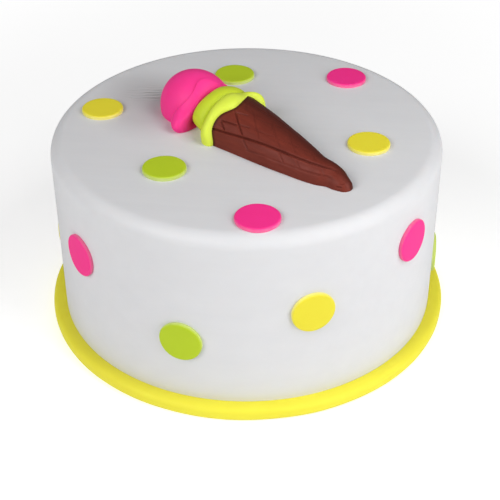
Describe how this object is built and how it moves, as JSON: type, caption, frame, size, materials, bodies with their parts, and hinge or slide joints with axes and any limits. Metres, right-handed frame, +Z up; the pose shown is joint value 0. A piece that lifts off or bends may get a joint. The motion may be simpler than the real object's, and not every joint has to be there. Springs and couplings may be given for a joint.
{
  "type": "fondant cake",
  "caption": "Round white fondant cake with a yellow band round its foot, flat coloured dots, and a modelled sugar ice cream cone lying on top.",
  "frame": {"origin": "middle of the cake's underside, where it stands", "axes": "+Z up; -Y is the front, the side that the picture shows; +X is to its right"},
  "size_m": [0.275, 0.275, 0.1609],
  "materials": {
    "white_fondant": "smooth white sugar paste with a soft sheen",
    "yellow_band": "smooth yellow sugar paste with a soft sheen",
    "yellow_dots": "matt yellow sugar paste",
    "lime_dots": "matt lime green sugar paste",
    "pink_dots": "matt pink sugar paste",
    "chocolate_cone": "chocolate brown sugar paste scored with crossing lines",
    "lime_scoop": "soft lime green sugar paste",
    "pink_scoop": "soft pink sugar paste"
  },
  "bodies": {
    "root": {"cake": "white_fondant", "band": "yellow_band", "cone": "chocolate_cone", "scoop_lime": "lime_scoop", "scoop_pink": "pink_scoop", "dot_top_yellow_left": "yellow_dots", "dot_top_lime_left": "lime_dots", "dot_top_pink_front": "pink_dots", "dot_top_yellow_right": "yellow_dots", "dot_top_pink_right": "pink_dots", "dot_top_lime_back": "lime_dots", "dot_wall_pink_left": "pink_dots", "dot_wall_lime_front": "lime_dots", "dot_wall_yellow_front": "yellow_dots", "dot_wall_pink_right": "pink_dots", "dot_wall_lime_right": "lime_dots", "dot_wall_yellow_right": "yellow_dots", "dot_wall_pink_back": "pink_dots", "dot_wall_lime_back": "lime_dots", "dot_wall_pink_far": "pink_dots", "dot_wall_yellow_left": "yellow_dots"}
  },
  "joints": []
}
